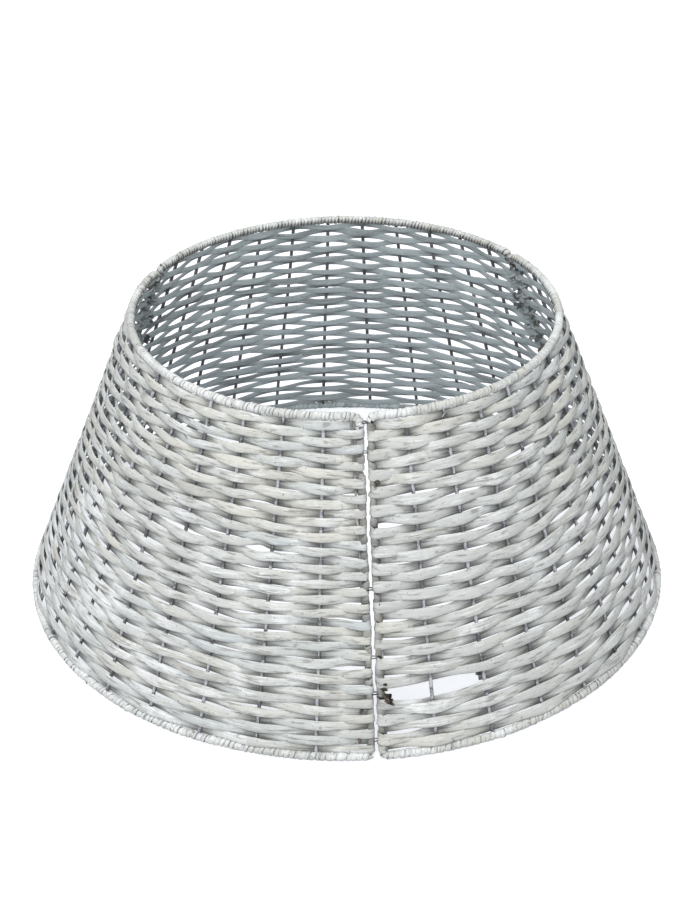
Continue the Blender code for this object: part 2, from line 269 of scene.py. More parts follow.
class ShapeGraph(Graph):
    """A Geometry Nodes tree with named inputs."""

    def __init__(self, name, sizes):
        super().__init__(bpy.data.node_groups.new(name, "GeometryNodeTree"))
        kinds = {int: "NodeSocketInt", float: "NodeSocketFloat"}
        for label, value in sizes.items():
            socket = self.tree.interface.new_socket(label, in_out="INPUT", socket_type=kinds[type(value)])
            socket.default_value = value
        self.tree.interface.new_socket("Material", in_out="INPUT", socket_type="NodeSocketMaterial")
        self.tree.interface.new_socket("Mesh", in_out="OUTPUT", socket_type="NodeSocketGeometry")
        group_input = self.tree.nodes.new("NodeGroupInput")
        self.sizes = {output.name: Socket(self, output) for output in group_input.outputs if output.name}

    def store(self, geometry, **values):
        """Keeps fields on the points of a shape, each under its own name."""
        for name, value in values.items():
            kind = "FLOAT_VECTOR" if value.output.type == "VECTOR" else "FLOAT"
            sockets = {"Geometry": geometry, "Name": name, "Value": value}
            geometry = self.node("GeometryNodeStoreNamedAttribute", {"data_type": kind}, sockets)
        return geometry

    def stored(self, name, kind="FLOAT"):
        return self.node("GeometryNodeInputNamedAttribute", {"data_type": kind}, {"Name": name})

    def index(self):
        return self.node("GeometryNodeInputIndex") + 0.0

    def counted(self, points):
        """The number of a point's strand, where each has this many points, and its step along it."""
        number = ((self.index() + 0.5) / points).apply("FLOOR")
        return number, self.index() - number * points

    def position(self):
        return self.node("GeometryNodeInputPosition")

    def spots(self, count, place):
        points = self.node("GeometryNodePoints", inputs={"Count": count})
        return self.moved(points, place)

    def moved(self, geometry, place):
        return self.node("GeometryNodeSetPosition", inputs={"Geometry": geometry, "Position": place})

    def threaded(self, points, strand_number, unwanted=None):
        """One curve through the points of each number, in their order, without the unwanted points."""
        points = self.store(points, strand_number=strand_number)
        if unwanted:
            sockets = {"Geometry": points, "Selection": unwanted}
            points = self.node("GeometryNodeDeleteGeometry", inputs=sockets)
        sockets = {"Points": points, "Curve Group ID": self.stored("strand_number"), "Weight": self.index()}
        return self.node("GeometryNodePointsToCurves", inputs=sockets)

    def tube(self, curve, radius, sides):
        profile = self.node("GeometryNodeCurvePrimitiveCircle", inputs={"Resolution": sides, "Radius": 1.0})
        sockets = {"Curve": curve, "Profile Curve": profile, "Scale": radius, "Fill Caps": True}
        return self.node("GeometryNodeCurveToMesh", inputs=sockets)

    def ribbon(self, curve, looks_out=None):
        """A split willow strip along a curve, flat towards the wall and rounded on its outer side.

        The curve's points hold its half width and half thickness, its roll, the way that its broad side
        faces, and how far that side looks out of the collar, from -1 to 1. Where the strip is narrow and
        turns round a wire, looks_out gives that share for the finish of the whole strip.
        """
        facing, roll, outer = self.stored("facing", "FLOAT_VECTOR"), self.stored("roll"), self.stored("outer")
        tangent = self.node("GeometryNodeInputTangent")
        across = tangent.apply("CROSS_PRODUCT", facing).apply("NORMALIZE")
        out = across.apply("CROSS_PRODUCT", tangent)
        cosine, sine = roll.cosine(), roll.sine()
        curve = self.store(
            curve,
            spine=self.position(),
            across=(across * cosine + out * sine) * self.stored("half_width"),
            out=(out * cosine - across * sine) * self.stored("half_thickness"),
        )
        profile = self.node("GeometryNodeCurvePrimitiveCircle", inputs={"Resolution": STRIP_SIDES})
        profile = self.store(profile, corner=self.index() * (-math.tau / STRIP_SIDES))
        sockets = {"Curve": curve, "Profile Curve": profile, "Fill Caps": True}
        mesh = self.node("GeometryNodeCurveToMesh", inputs=sockets)
        corner = self.stored("corner")
        across_share = corner.cosine().bent(0.85)
        side = corner.sine()
        out_share = side.bent(0.85) * (0.7 + 0.3 * side * outer)
        face = looks_out or side * outer
        mesh = self.store(mesh, strand=self.vector(self.stored("run"), across_share, face))
        parts = [self.stored(name, "FLOAT_VECTOR") for name in ("spine", "across", "out")]
        return self.moved(mesh, parts[0] + parts[1] * across_share + parts[2] * out_share)

    def joined(self, *meshes):
        joint = self.tree.nodes.new("GeometryNodeJoinGeometry")
        for mesh in meshes:
            self.tree.links.new(mesh.output, joint.inputs[0])
        return Socket(self, joint.outputs[0])

    def finish(self, mesh):
        mesh = self.node("GeometryNodeSetShadeSmooth", inputs={"Geometry": mesh})
        mesh = self.node("GeometryNodeRealizeInstances", inputs={"Geometry": mesh})
        sockets = {"Geometry": mesh, "Material": self.sizes["Material"]}
        mesh = self.node("GeometryNodeSetMaterial", inputs=sockets)
        output = self.tree.nodes.new("NodeGroupOutput")
        self.tree.links.new(mesh.output, output.inputs["Mesh"])
        return self.tree


def add_object(name, data):
    added = bpy.data.objects.new(name, data)
    bpy.context.scene.collection.objects.link(added)
    return added


def evaluated_mesh(carrier, **options):
    depsgraph = bpy.context.evaluated_depsgraph_get()
    return bpy.data.meshes.new_from_object(carrier.evaluated_get(depsgraph), depsgraph=depsgraph, **options)


def grow(name, tree, sizes, material):
    """Runs a Geometry Nodes tree with these sizes and keeps the result as a plain mesh."""
    piece = add_object(name, bpy.data.meshes.new(name))
    modifier = piece.modifiers.new("shape", "NODES")
    modifier.node_group = tree
    inputs = [item for item in tree.interface.items_tree if item.in_out == "INPUT"]
    for item in inputs:
        modifier[item.identifier] = material if item.name == "Material" else sizes[item.name]
    mesh = evaluated_mesh(piece, preserve_all_data_layers=True)
    piece.modifiers.clear()
    piece.data = mesh
    mesh.name = name
    for attribute in list(mesh.attributes):
        is_own = attribute.is_required or attribute.is_internal or attribute.domain != "POINT"
        if not is_own and attribute.name not in ("strand", "row", "hollow", "cut"):
            mesh.attributes.remove(attribute)
    return piece


def cone_point(azimuth, slant, outwards=0):
    """A point this far up the slope from the base rim wire and this far out from the wall's middle."""
    radius = BASE_RIM_RADIUS - slant * math.sin(LEAN) + outwards * math.cos(LEAN)
    height = BASE_RIM_HEIGHT + slant * math.cos(LEAN) + outwards * math.sin(LEAN)
    return Vector((radius * math.cos(azimuth), radius * math.sin(azimuth), height))


def cone_axes(azimuth):
    """Unit vectors out of the wall, along the row and up the slope."""
    turn = Euler((0, -LEAN, azimuth)).to_matrix()
    return turn.col[0].copy(), turn.col[1].copy(), turn.col[2].copy()


def stake_azimuth(panel, stakes):
    """The azimuth of a place in a panel, counted in stakes from its first edge."""
    return PANEL_AZIMUTHS[panel] + (stakes / SPANS - 0.5) * PANEL_ANGLE


def shares(steps):
    """From 0 to 1 in even steps, with both ends."""
    return [step / steps for step in range(steps + 1)]


def heading_from(panel, stakes, points_to):
    """The wall's axes at a place, and the way that points so far out of it, along the row and up."""
    normal, along, up = cone_axes(stake_azimuth(panel, stakes))
    out, sideways, upwards = points_to
    return normal, along, up, (normal * out + along * sideways + up * upwards).normalized()


CONE_SIZES = {"Base radius": BASE_RIM_RADIUS, "Base height": BASE_RIM_HEIGHT, "Lean": LEAN}


class ConeFields:
    """The cone's places and directions as fields of a tree."""

    def __init__(self, graph):
        self.graph = graph
        self.radius, self.height = graph.sizes["Base radius"], graph.sizes["Base height"]
        lean = graph.sizes["Lean"]
        self.rise, self.fall = lean.cosine(), lean.sine()

    def radius_at(self, slant):
        return self.radius - slant * self.fall

    def place(self, azimuth, slant, outwards):
        radius = self.radius_at(slant) + outwards * self.rise
        height = self.height + slant * self.rise + outwards * self.fall
        return self.graph.vector(radius * azimuth.cosine(), radius * azimuth.sine(), height)

    def axes(self, azimuth):
        cosine, sine = azimuth.cosine(), azimuth.sine()
        vector = self.graph.vector
        normal = vector(cosine * self.rise, sine * self.rise, self.fall)
        along = vector(-sine, cosine, 0)
        up = vector(-(cosine * self.fall), -(sine * self.fall), self.rise)
        return normal, along, up


# Each panel's weave has two loose spots. Their labels are explained beside the spots themselves.
GAP_NUMBERS = (1, 2)
GAP_LABELS = ("row", "opening", "start", "widest", "end", "lift")
WEAVE_SIZES = {
    **CONE_SIZES, "Rows": 36, "Middle azimuth": 0.0, "First face": 1.0, "Seed": 0.0,
    "Edge offset": EDGE_OFFSET, "Lowest row edge": 0.0046, "Highest row edge": SLANT - 0.0048,
    "Strip thickness": 0.0024, "Wave reach": 0.0030, "Edge reach": 0.0031,
    "Row wobble": 0.0032, "Row drift": 4.0, "Row jitter": 2.2,
    "Width over a stake": 1.25, "Width between stakes": 1.02, "Uneven width": 0.8,
    "Width by the first edge": 1.05, "Width by the last edge": 1.12, "Wider up the first edge": 0.0,
    "Pair gap by the first edge": 0.0005, "Pair gap by the last edge": 0.0004,
    "Uneven first edge": 0.9, "Uneven last edge": 0.9,
    # The first size below darkens the middle of each turn round an edge wire as painted shade.
    "Turn shade": 0.8, "Narrower in a turn": 0.35, "Thinner in a turn": 0.2, "Swift climb": 1.7,
    "Break start": NO_BREAK, "Break end": NO_BREAK, "Splices": 12,
    **{f"Gap {number} {label}": 0.0 for number in GAP_NUMBERS for label in GAP_LABELS},
}


class WovenRows(ConeFields):
    """A panel's rows as fields: how they wander, part at loose spots and wave round the stakes.

    A level counts rows up the slope, and a crossing counts stakes from the panel's first edge.
    """

    def __init__(self, graph):
        super().__init__(graph)
        size = graph.sizes
        self.pitch = (size["Highest row edge"] - size["Lowest row edge"]) / size["Rows"]

    def by_edges(self, crossing, stakes):
        """0 further than some stakes from the first and the last edge, and 1 from one stake nearer on."""
        return (stakes - crossing).within(0, 1), (crossing - SPANS + stakes).within(0, 1)

    def uneven(self, level, crossing, along, across, offset, detail=1.0):
        """Noise that changes slowly along a row, and with across over 1 freely from row to row."""
        place = (crossing * along, level * across, self.graph.sizes["Seed"] + offset)
        return self.graph.noise(place, detail=detail)

    def loose_spot(self, number, level, crossing):
        """How far a loose spot in the weave pushes a row up or down the slope."""
        row, opening, start, widest, end, lift = [
            self.graph.sizes[f"Gap {number} {label}"] for label in GAP_LABELS
        ]
        above = level - row - 0.5
        opens = ((crossing - start) / (widest - start + 0.001)).within(0, 1)
        closes = ((end - crossing) / (end - widest + 0.001)).within(0, 1)
        fade = ((0.5 - abs(above)) / GAP_FADE_ROWS).within(-9, 0).apply("EXPONENT")
        side = lift - 0.5 + above.apply("SIGN") * 0.5
        return opening * opens * closes * fade * side

    def slant(self, level, crossing, row, climb):
        """The height up the slope. The two rows that a turn joins part a little beside it."""
        size = self.graph.sizes
        calm = (level / CALM_ROWS).within(0, 1) * ((size["Rows"] - 1 - level) / CALM_ROWS).within(0, 1)
        drift = self.uneven(level, crossing, 0.4, 0.13, 0.0) * size["Row drift"]
        jitter = self.uneven(level, crossing, 0.8, 3.1, 7.3) * size["Row jitter"]
        wander = (drift + jitter) * calm * size["Row wobble"]
        slant = size["Lowest row edge"] + (level + 0.5) * self.pitch + wander
        by_first, by_last = self.by_edges(crossing, 1.6)
        apart = by_first * size["Pair gap by the first edge"] - by_last * size["Pair gap by the last edge"]
        towards_foot = 1.5 * (1 - level / size["Rows"])
        slant = slant + apart * towards_foot * (1 - 2 * (row % 2)) * (1 - 2 * climb)
        for number in GAP_NUMBERS:
            slant = slant + self.loose_spot(number, level, crossing)
        return slant

    def azimuth(self, crossing, slant):
        """The panel's edges stay a fixed distance from the seams."""
        size = self.graph.sizes
        by_first, by_last = self.by_edges(crossing, 1)
        edge_turn = size["Edge offset"] / self.radius_at(slant) * (by_first - by_last)
        return size["Middle azimuth"] + (crossing / SPANS - 0.5) * PANEL_ANGLE + edge_turn

    def wave(self, row, crossing):
        """1 where the row lies outside a stake and -1 where it lies inside."""
        return ((crossing + row) * math.pi).cosine() * self.graph.sizes["First face"]

    def reach(self, level, crossing):
        """How far from the wires the strip's middle runs. The wraps round the edge wires are uneven."""
        size = self.graph.sizes
        by_first, by_last = self.by_edges(crossing, 1)
        unevenness = by_first * size["Uneven first edge"] + by_last * size["Uneven last edge"]
        loose = 1 + self.graph.noise((level * 2.3, size["Seed"], 1.7), detail=1.0) * unevenness
        return size["Wave reach"] + (size["Edge reach"] * loose - size["Wave reach"]) * (by_first + by_last)

    def half_width(self, level, crossing, wave):
        size = self.graph.sizes
        by_first, by_last = self.by_edges(crossing, 2)
        wider_up = (level / size["Rows"] - 0.5) * size["Wider up the first edge"]
        between = size["Width between stakes"] * (1 - by_first - by_last)
        between = between + (size["Width by the first edge"] + wider_up) * by_first
        between = between + size["Width by the last edge"] * by_last
        share = between + (size["Width over a stake"] - between) * wave * wave
        unevenness = self.uneven(level, crossing, 0.9, 5.7, 3.1, detail=2.0) * size["Uneven width"]
        return self.pitch * share * (1 + unevenness) / 2


def weave_tree():
    """One strand, row after row over and under the stakes, wound back round the edge wires."""
    graph = ShapeGraph("woven strand", WEAVE_SIZES)
    size = graph.sizes
    rows = WovenRows(graph)
    per_row = SPANS * SPAN_SAMPLES + TURN_SAMPLES
    row, step = graph.counted(per_row)
    way = 1 - 2 * (row % 2)
    forward = (step / SPAN_SAMPLES).within(0, SPANS)
    turn = ((step - SPANS * SPAN_SAMPLES) / TURN_SAMPLES).within(0, 1)
    crossing = SPANS / 2 + way * (forward - SPANS / 2)
    climb = 1 - (1 - turn) ** size["Swift climb"]
    level = row + climb
    slant = rows.slant(level, crossing, row, climb)
    azimuth = rows.azimuth(crossing, slant)
    wave = rows.wave(row, crossing)
    reach = rows.reach(level, crossing)
    bend = turn * (EDGE_WRAPS * math.tau)
    cosine, sine = bend.cosine(), bend.sine()
    normal, along, _ = rows.axes(azimuth)
    outer = way * size["First face"] * cosine
    place = rows.place(azimuth, slant, reach * wave * cosine) + along * (way * reach * sine)
    run = row * SPANS + forward
    midway = (turn * math.pi).sine()
    thickness = size["Strip thickness"] * (1 + rows.uneven(level, crossing, 1.3, 2.9, 9.7))
    broken_edge = (1 - abs(run - size["Break end"]) * 9).within(0, 1) * 0.5

    points = graph.store(
        graph.spots(size["Rows"] * per_row - TURN_SAMPLES, place),
        run=run * GRAIN_PER_SPAN,
        row=row + size["Seed"] * 5,
        outer=outer,
        facing=normal * outer + along * (way * sine),
        half_width=rows.half_width(level, crossing, wave) * (1 - size["Narrower in a turn"] * midway),
        half_thickness=thickness / 2 * (1 - size["Thinner in a turn"] * midway),
        roll=rows.uneven(level, crossing, 0.7, 3.7, 5.9) * (1 - midway),
        # How far the strip lies behind a stake, which its finish darkens as painted shade.
        hollow=-(wave * cosine),
        # The dark of a broken end, and painted shade in the middle of each turn round an edge wire.
        cut=broken_edge + midway * size["Turn shade"],
        whole_run=run,
    )
    run = graph.stored("whole_run")
    after_break = run.apply("GREATER_THAN", size["Break start"])
    broken_out = after_break * run.apply("LESS_THAN", size["Break end"])
    return graph.finish(graph.ribbon(graph.threaded(points, after_break, broken_out)))


def splice_tree():
    """Ends of strips laid on the rows: each starts inside a stake, passes over the next and stops."""
    graph = ShapeGraph("spliced ends", WEAVE_SIZES)
    size = graph.sizes
    rows = WovenRows(graph)
    number, step = graph.counted(SPLICE_SAMPLES)
    share = 1 - (1 - step / (SPLICE_SAMPLES - 1)) ** 1.5

    def chance(offset):
        return graph.scatter(graph.vector(number, size["Seed"], offset))

    row = (2 + chance(0.1) * (size["Rows"] - 4)).apply("FLOOR")
    stake = (2 + chance(0.3) * (SPANS - 4)).apply("FLOOR")
    stake = stake + 1 - (stake + row + (1 - size["First face"]) / 2) % 2
    heading = (chance(0.5) - 0.5).apply("SIGN")
    crossing = stake + heading * share * (1.2 + 0.35 * chance(0.7))
    slant = rows.slant(row, crossing, row, crossing * 0)
    wave = rows.wave(row, crossing)
    azimuth = rows.azimuth(crossing, slant)
    normal, _, _ = rows.axes(azimuth)
    lift = (share * 2.5).within(0, 1) * size["Strip thickness"] * (0.5 + 0.35 * share)
    tip = ((share - 0.8) * 5).within(0, 1)
    outwards = wave * rows.reach(row, crossing) + lift

    points = graph.store(
        graph.spots(size["Splices"] * SPLICE_SAMPLES, rows.place(azimuth, slant, outwards)),
        run=(row * SPANS + crossing) * GRAIN_PER_SPAN + 3,
        row=row + size["Seed"] * 5 + 0.4,
        outer=crossing * 0 + 1,
        facing=normal,
        half_width=rows.half_width(row, crossing, wave) * (0.9 - (0.2 + 0.4 * chance(0.9)) * tip * tip),
        half_thickness=size["Strip thickness"] / 2 * (0.7 + crossing * 0),
        roll=(chance(1.1) - 0.5) * 0.3,
        # How far the end lies behind a stake, which its finish darkens as painted shade.
        hollow=-wave,
        piece=number,
    )
    return graph.finish(graph.ribbon(graph.threaded(points, graph.stored("piece"))))


WOUND_SIZES = {
    **CONE_SIZES, "Middle azimuth": 0.0, "Rim radius": 0.3, "Slant": 0.0, "Corner radius": CORNER_RADIUS,
    "Edge offset": EDGE_OFFSET, "Bend down": 1.0, "Turns": 120, "First reach": 0.0, "Last reach": 0.0,
    "Core radius": 0.0026, "End core radius": 0.0022, "Strip thickness": 0.0018, "Strip width": 0.004,
    # The core's darkening, on the next line, is painted shade where it shows between the turns.
    "Core shade": 0.8, "Inner look": 0.0, "Seed": 0.0, "Sag": 0.0014, "Uneven pitch": 8.0,
    "Uneven width": 1.4, "Uneven thickness": 1.3, "Uneven roll": 1.8, "Looseness": 0.001,
    "Lowest height": CAD_BOX[0].z, "Highest height": CAD_BOX[1].z,
}


def wound_tree():
    """A strip wound round a rim wire, over a core of willow, that may go on round the corners."""
    graph = ShapeGraph("wound rim", WOUND_SIZES)
    size = graph.sizes
    cone = ConeFields(graph)
    corner = size["Corner radius"]
    straight = size["Rim radius"] * (PANEL_ANGLE / 2) - size["Edge offset"] - corner
    first, last = straight + size["First reach"], straight + size["Last reach"]
    seed = size["Seed"]

    def path(share):
        """A place and its directions: along the rim, round the corners and down the edges."""
        run = (first + last) * share - first
        side = run.apply("SIGN")
        beyond = (abs(run) - straight).within(0, 9)
        bend = (beyond / corner).apply("MINIMUM", math.pi / 2)
        down = (beyond - corner * (math.pi / 2)).within(0, 9)
        along_run = side * (abs(run).apply("MINIMUM", straight) + corner * bend.sine())
        fall = (corner * (1 - bend.cosine()) + down) * size["Bend down"]
        azimuth = size["Middle azimuth"] + along_run / size["Rim radius"]
        normal, along, up = cone.axes(azimuth)
        lateral = up * bend.cosine() + along * (side * bend.sine() * size["Bend down"])
        sag = graph.noise((run * 14, seed + 1.7, 0), detail=1.0) * size["Sag"]
        centre = cone.place(azimuth, size["Slant"] - fall, 0) + lateral * sag
        widening = (size["End core radius"] - size["Core radius"]) * (beyond * 250).within(0, 1)
        return centre, normal, lateral, size["Core radius"] + widening, run

    count = size["Turns"] * TURN_POINTS + 1
    share = graph.index() / (size["Turns"] * TURN_POINTS)
    centre, normal, lateral, core, run = path(share)
    turns = share * size["Turns"]
    angle = turns * math.tau + graph.noise((run * 90, seed, 0), detail=2.0) * size["Uneven pitch"]

    def wild(rate, offset, most):
        return graph.noise((turns * rate, seed + offset, 0), detail=1.0) * size[most]

    radial = normal * angle.cosine() + lateral * angle.sine()
    half_thickness = size["Strip thickness"] / 2 * (1 + wild(1.3, 4.1, "Uneven thickness"))
    lift = core + half_thickness * 0.9 + abs(wild(0.9, 6.4, "Looseness"))

    points = graph.store(
        graph.spots(count, centre + radial * lift),
        run=turns * GRAIN_PER_TURN,
        row=turns.apply("FLOOR") * 0.37 + seed * 7,
        outer=share * 0 + 1,
        facing=radial,
        half_width=size["Strip width"] / 2 * (1 + wild(0.7, 8.3, "Uneven width")),
        half_thickness=half_thickness,
        roll=wild(1.1, 2.7, "Uneven roll"),
        # Painted shade along the edges of every turn, and more on the side of the rim that faces into the
        # ring.
        hollow=0.15 + (-angle.cosine()).within(0, 1) * 0.75,
        looks_out=1 + (angle.cosine() - 1) * size["Inner look"],
    )
    strip = graph.ribbon(graph.threaded(points, share * 0), looks_out=graph.stored("looks_out"))

    centre, _, _, core, _ = path(graph.index() / (CORE_POINTS - 1))
    core_points = graph.spots(CORE_POINTS, centre)
    # The core shows between the turns and is darkened there as painted shade.
    core_points = graph.store(core_points, core=core, cut=size["Core shade"] + core * 0)
    core_mesh = graph.tube(graph.threaded(core_points, core * 0), graph.stored("core"), CORE_SIDES)
    whole = graph.joined(strip, core_mesh)
    x, y, z = graph.position().parts()
    height = z.within(size["Lowest height"], size["Highest height"])
    return graph.finish(graph.moved(whole, graph.vector(x, y, height)))


STAKE_SIZES = {
    **CONE_SIZES, "Middle azimuth": 0.0, "Stakes": STAKES_PER_PANEL, "Foot": 0.003, "Head": SLANT - 0.003,
    "Stake radius": 0.0019, "Seed": 0.0, "Bow": 0.0006,
}


def stake_tree():
    """Straight wires up the slope, each with a slight bow of its own."""
    graph = ShapeGraph("stakes", STAKE_SIZES)
    size = graph.sizes
    cone = ConeFields(graph)
    number, step = graph.counted(STAKE_POINTS)
    number, share = number + 1, step / (STAKE_POINTS - 1)
    azimuth = size["Middle azimuth"] + (number / (size["Stakes"] + 1.0) - 0.5) * PANEL_ANGLE
    bow = graph.noise((number * 4.3, share * 2.0, size["Seed"]), detail=0.0) * 4 * size["Bow"]
    slant = size["Foot"] + share * (size["Head"] - size["Foot"])
    place = cone.place(azimuth + bow / cone.radius_at(slant), slant, bow * 0.5)
    normal, _, _ = cone.axes(azimuth)
    stakes = graph.store(graph.spots(size["Stakes"] * STAKE_POINTS, place), row=number, facing=normal)
    stakes = graph.threaded(stakes, graph.stored("row"))
    stakes = graph.store(stakes, spine=graph.position())
    mesh = graph.tube(stakes, size["Stake radius"], STAKE_SIDES)
    aside = graph.position() - graph.stored("spine", "FLOAT_VECTOR")
    face = aside.apply("DOT_PRODUCT", graph.stored("facing", "FLOAT_VECTOR")) / size["Stake radius"]
    return graph.finish(graph.store(mesh, strand=graph.vector(0, 0, face)))


class Finish(Graph):
    """A material with a Principled BSDF whose sockets take numbers or expressions."""

    def __init__(self, name, constants):
        self.material = bpy.data.materials.new(name)
        self.material.use_nodes = True
        super().__init__(self.material.node_tree)
        self.shader = self.tree.nodes["Principled BSDF"]
        for socket, value in constants.items():
            self.shader.inputs[socket].default_value = value

    def attribute(self, name, output):
        return self.node("ShaderNodeAttribute", {"attribute_name": name}, output=output)

    def place(self):
        return self.node("ShaderNodeTexCoord", output="Object")

    def ramp(self, value, low, high):
        """0 below low, 1 above high, smooth between."""
        sockets = {"Value": value, "From Min": low, "From Max": high}
        return self.node("ShaderNodeMapRange", {"interpolation_type": "SMOOTHSTEP"}, sockets)

    def connect(self, **sockets):
        for name, value in sockets.items():
            self.tree.links.new(value.output, self.shader.inputs[name.replace("_", " ")])

    def bump(self, height, distance):
        sockets = {"Height": height, "Distance": distance, "Strength": 1.0}
        return self.node("ShaderNodeBump", inputs=sockets)

    def coated(self, colour, *coats):
        """A colour with coats over it in their order, each a share of cover and a colour."""
        for share, coat in coats:
            colour = self.blend(share, colour, coat)
        return colour


def make_willow(name, grain_stretch, wash_cover):
    """Split willow with a thin wash: grain along the strip, chalky patches, and a blue-grey inner face."""
    finish = Finish(name, {"Specular IOR Level": 0.2})
    run, across, face = finish.attribute("strand", "Vector").parts()
    row, hollow, cut = [finish.attribute(kept, "Fac") for kept in ("row", "hollow", "cut")]
    place = finish.place()
    x, _, z = place.parts()

    grain = run * grain_stretch
    tone = finish.noise((run * 3.0, row * 9.7, 0.0), detail=1.0)
    hue = finish.noise((run * 2.3, row * 5.3, 7.0), detail=1.0)
    fibre = finish.noise((grain, across * 4.0 + row * 7.1, row * 3.3), detail=4.0, roughness=0.65)
    fine = finish.noise((grain * 2.5, across * 13, row * 5.9), detail=3.0, roughness=0.7)
    streak = finish.noise((grain * 2.6, across * 1.7 + row * 11.3, row * 2.1), detail=3.0, roughness=0.6)
    patch = finish.noise(place, scale=17.0, detail=5.0, roughness=0.65, distortion=0.5)
    cloud = finish.noise(place, scale=4.5, detail=2.0)
    speck = finish.ramp(finish.noise(place, scale=380.0, detail=1.0), 0.17, 0.27)
    smudge = finish.ramp(finish.noise(place, scale=85.0, detail=2.0), 0.2, 0.28)
    low_left = finish.ramp(-x, 0.02, 0.28) * finish.ramp(-z, -0.2, -0.03)

    beige, grey, blue = tint(203, 202, 194), tint(196, 198, 195), tint(188, 195, 197)
    wash, bare, dark = tint(230, 232, 231), tint(167, 164, 155), tint(76, 76, 73)
    washed = finish.ramp(patch + fibre * 0.7 + tone * 0.25 + low_left * 0.1, wash_cover, wash_cover + 0.2)
    inner = finish.ramp(-face, -0.1, 0.5)
    stain = finish.ramp(fibre + tone * 0.8 + patch * 0.6, 0.0, 0.22)
    # Painted shade: a strip is darkened where it dips behind its neighbours, most of all along its edges, and
    # a rim's turns along their edges and on the side that faces into the ring.
    shade = finish.ramp(hollow * face * 0.8 + across * across * 0.5 + fibre * 0.7, 0.42, 1.04)
    colour = finish.coated(
        beige,
        (finish.ramp(cloud * 1.4 + tone, -0.2, 0.1), grey),
        (finish.ramp(hue - cloud + low_left * 0.12, 0.02, 0.24) * 0.6, blue),
        (finish.ramp(tone * 1.2 - hue, 0.05, 0.4) * 0.6, bare),
        (finish.ramp(fibre, 0.03, 0.2) * 0.5, bare),
        (washed * 0.9, wash),
        (finish.ramp(-streak, 0.06, 0.2) * 0.5, wash),
        (finish.ramp(streak, 0.05, 0.17) * 0.7, tint(134, 132, 126)),
        (finish.ramp(-fine, 0.08, 0.26) * 0.6, dark),
        (inner * 0.55, tint(206, 222, 228)),
        (inner * stain * 0.5, dark),
        (shade * (0.92 - inner * 0.37), dark),
        (speck * 0.45, dark),
        (smudge * 0.4, dark),
        # Painted shade in the middle of the turns, on the rim cores and on the edge lumps, and the dark of a
        # broken strip end.
        ((cut * (0.9 + patch * 2.5)).within(0, 1), tint(70, 66, 60)),
    )

    relief = fibre * 0.6 + fine * 0.5 + washed * 0.12
    roughness = 0.8 + fibre * 0.3 - washed * 0.1
    finish.connect(Base_Color=colour, Roughness=roughness, Normal=finish.bump(relief, 0.0007))
    return finish.material


def make_cut_wood():
    """The dark broken and cut ends of willow, with pale wash on their ridges, and greyer inside the ring."""
    finish = Finish("cut_willow", {"Specular IOR Level": 0.15})
    _, _, face = finish.attribute("strand", "Vector").parts()
    place = finish.place()
    grain = finish.noise(place, scale=700.0, detail=3.0, roughness=0.7)
    patch = finish.noise(place, scale=160.0, detail=2.0)
    colour = finish.coated(
        tint(40, 36, 34),
        (finish.ramp(patch, -0.15, 0.15), tint(92, 84, 78)),
        (finish.ramp(grain + patch * 0.6, 0.1, 0.26) * 0.6, tint(176, 172, 167)),
        (finish.ramp(-face, 0.0, 1.0) * 0.6, tint(116, 124, 127)),
    )
    finish.connect(Base_Color=colour, Roughness=0.85 + grain * 0.2, Normal=finish.bump(grain, 0.0005))
    return finish.material


def make_wire(name, steel, worn, wash, metallic=0.15, washed_face=0.0):
    """Drawn wire with dull patches and a little wash on it, and more of it on a face that looks out."""
    finish = Finish(name, {"Metallic": metallic})
    place = finish.place()
    _, _, face = finish.attribute("strand", "Vector").parts()
    patch = finish.noise(place, scale=90.0, detail=3.0, roughness=0.6)
    fine = finish.noise(place, scale=900.0, detail=2.0)
    washed = finish.ramp(patch + fine * 0.6 + face * washed_face, 0.04, 0.2)
    colour = finish.coated(steel, (finish.ramp(patch, -0.1, 0.12), worn), (washed * 0.8, wash))
    finish.connect(Base_Color=colour, Roughness=0.55 + patch * 0.4, Normal=finish.bump(fine, 0.0002))
    return finish.material


def make_materials():
    stake_tints = tint(92, 94, 98), tint(122, 124, 129), tint(200, 200, 206)
    frame_tints = tint(112, 112, 113), tint(152, 151, 148), tint(208, 208, 205)
    tie_tints = tint(44, 42, 41), tint(70, 66, 62), tint(110, 106, 102)
    return {
        "woven_willow": make_willow("woven_willow", 18.0, 0.03),
        "wound_willow": make_willow("wound_willow", 22.0, -0.07),
        "cut_willow": make_cut_wood(),
        "stake_wire": make_wire("stake_wire", *stake_tints, washed_face=0.12),
        "frame_wire": make_wire("frame_wire", *frame_tints),
        "tie_wire": make_wire("tie_wire", *tie_tints, metallic=0.4),
    }


# Loose spots in the weave: the row under each, how far it opens, where it starts, is widest and ends,
# counted in stakes, and how much of it opens upwards.
RIGHT_GAPS = ((5, 0.0075, -1.0, 1.0, 2.1, 0.45), (9, 0.0014, -1.0, 0.4, 1.1, 0.5))
LEFT_GAPS = ((10, 0.0035, 11.0, 11.6, 12.2, 0.5), (24, 0.007, 9.3, 9.75, 10.05, 0.6))
BACK_GAPS = ((29, 0.006, 1.0, 1.8, 2.6, 0.5), (20, 0.003, 7.0, 7.5, 8.1, 0.5))
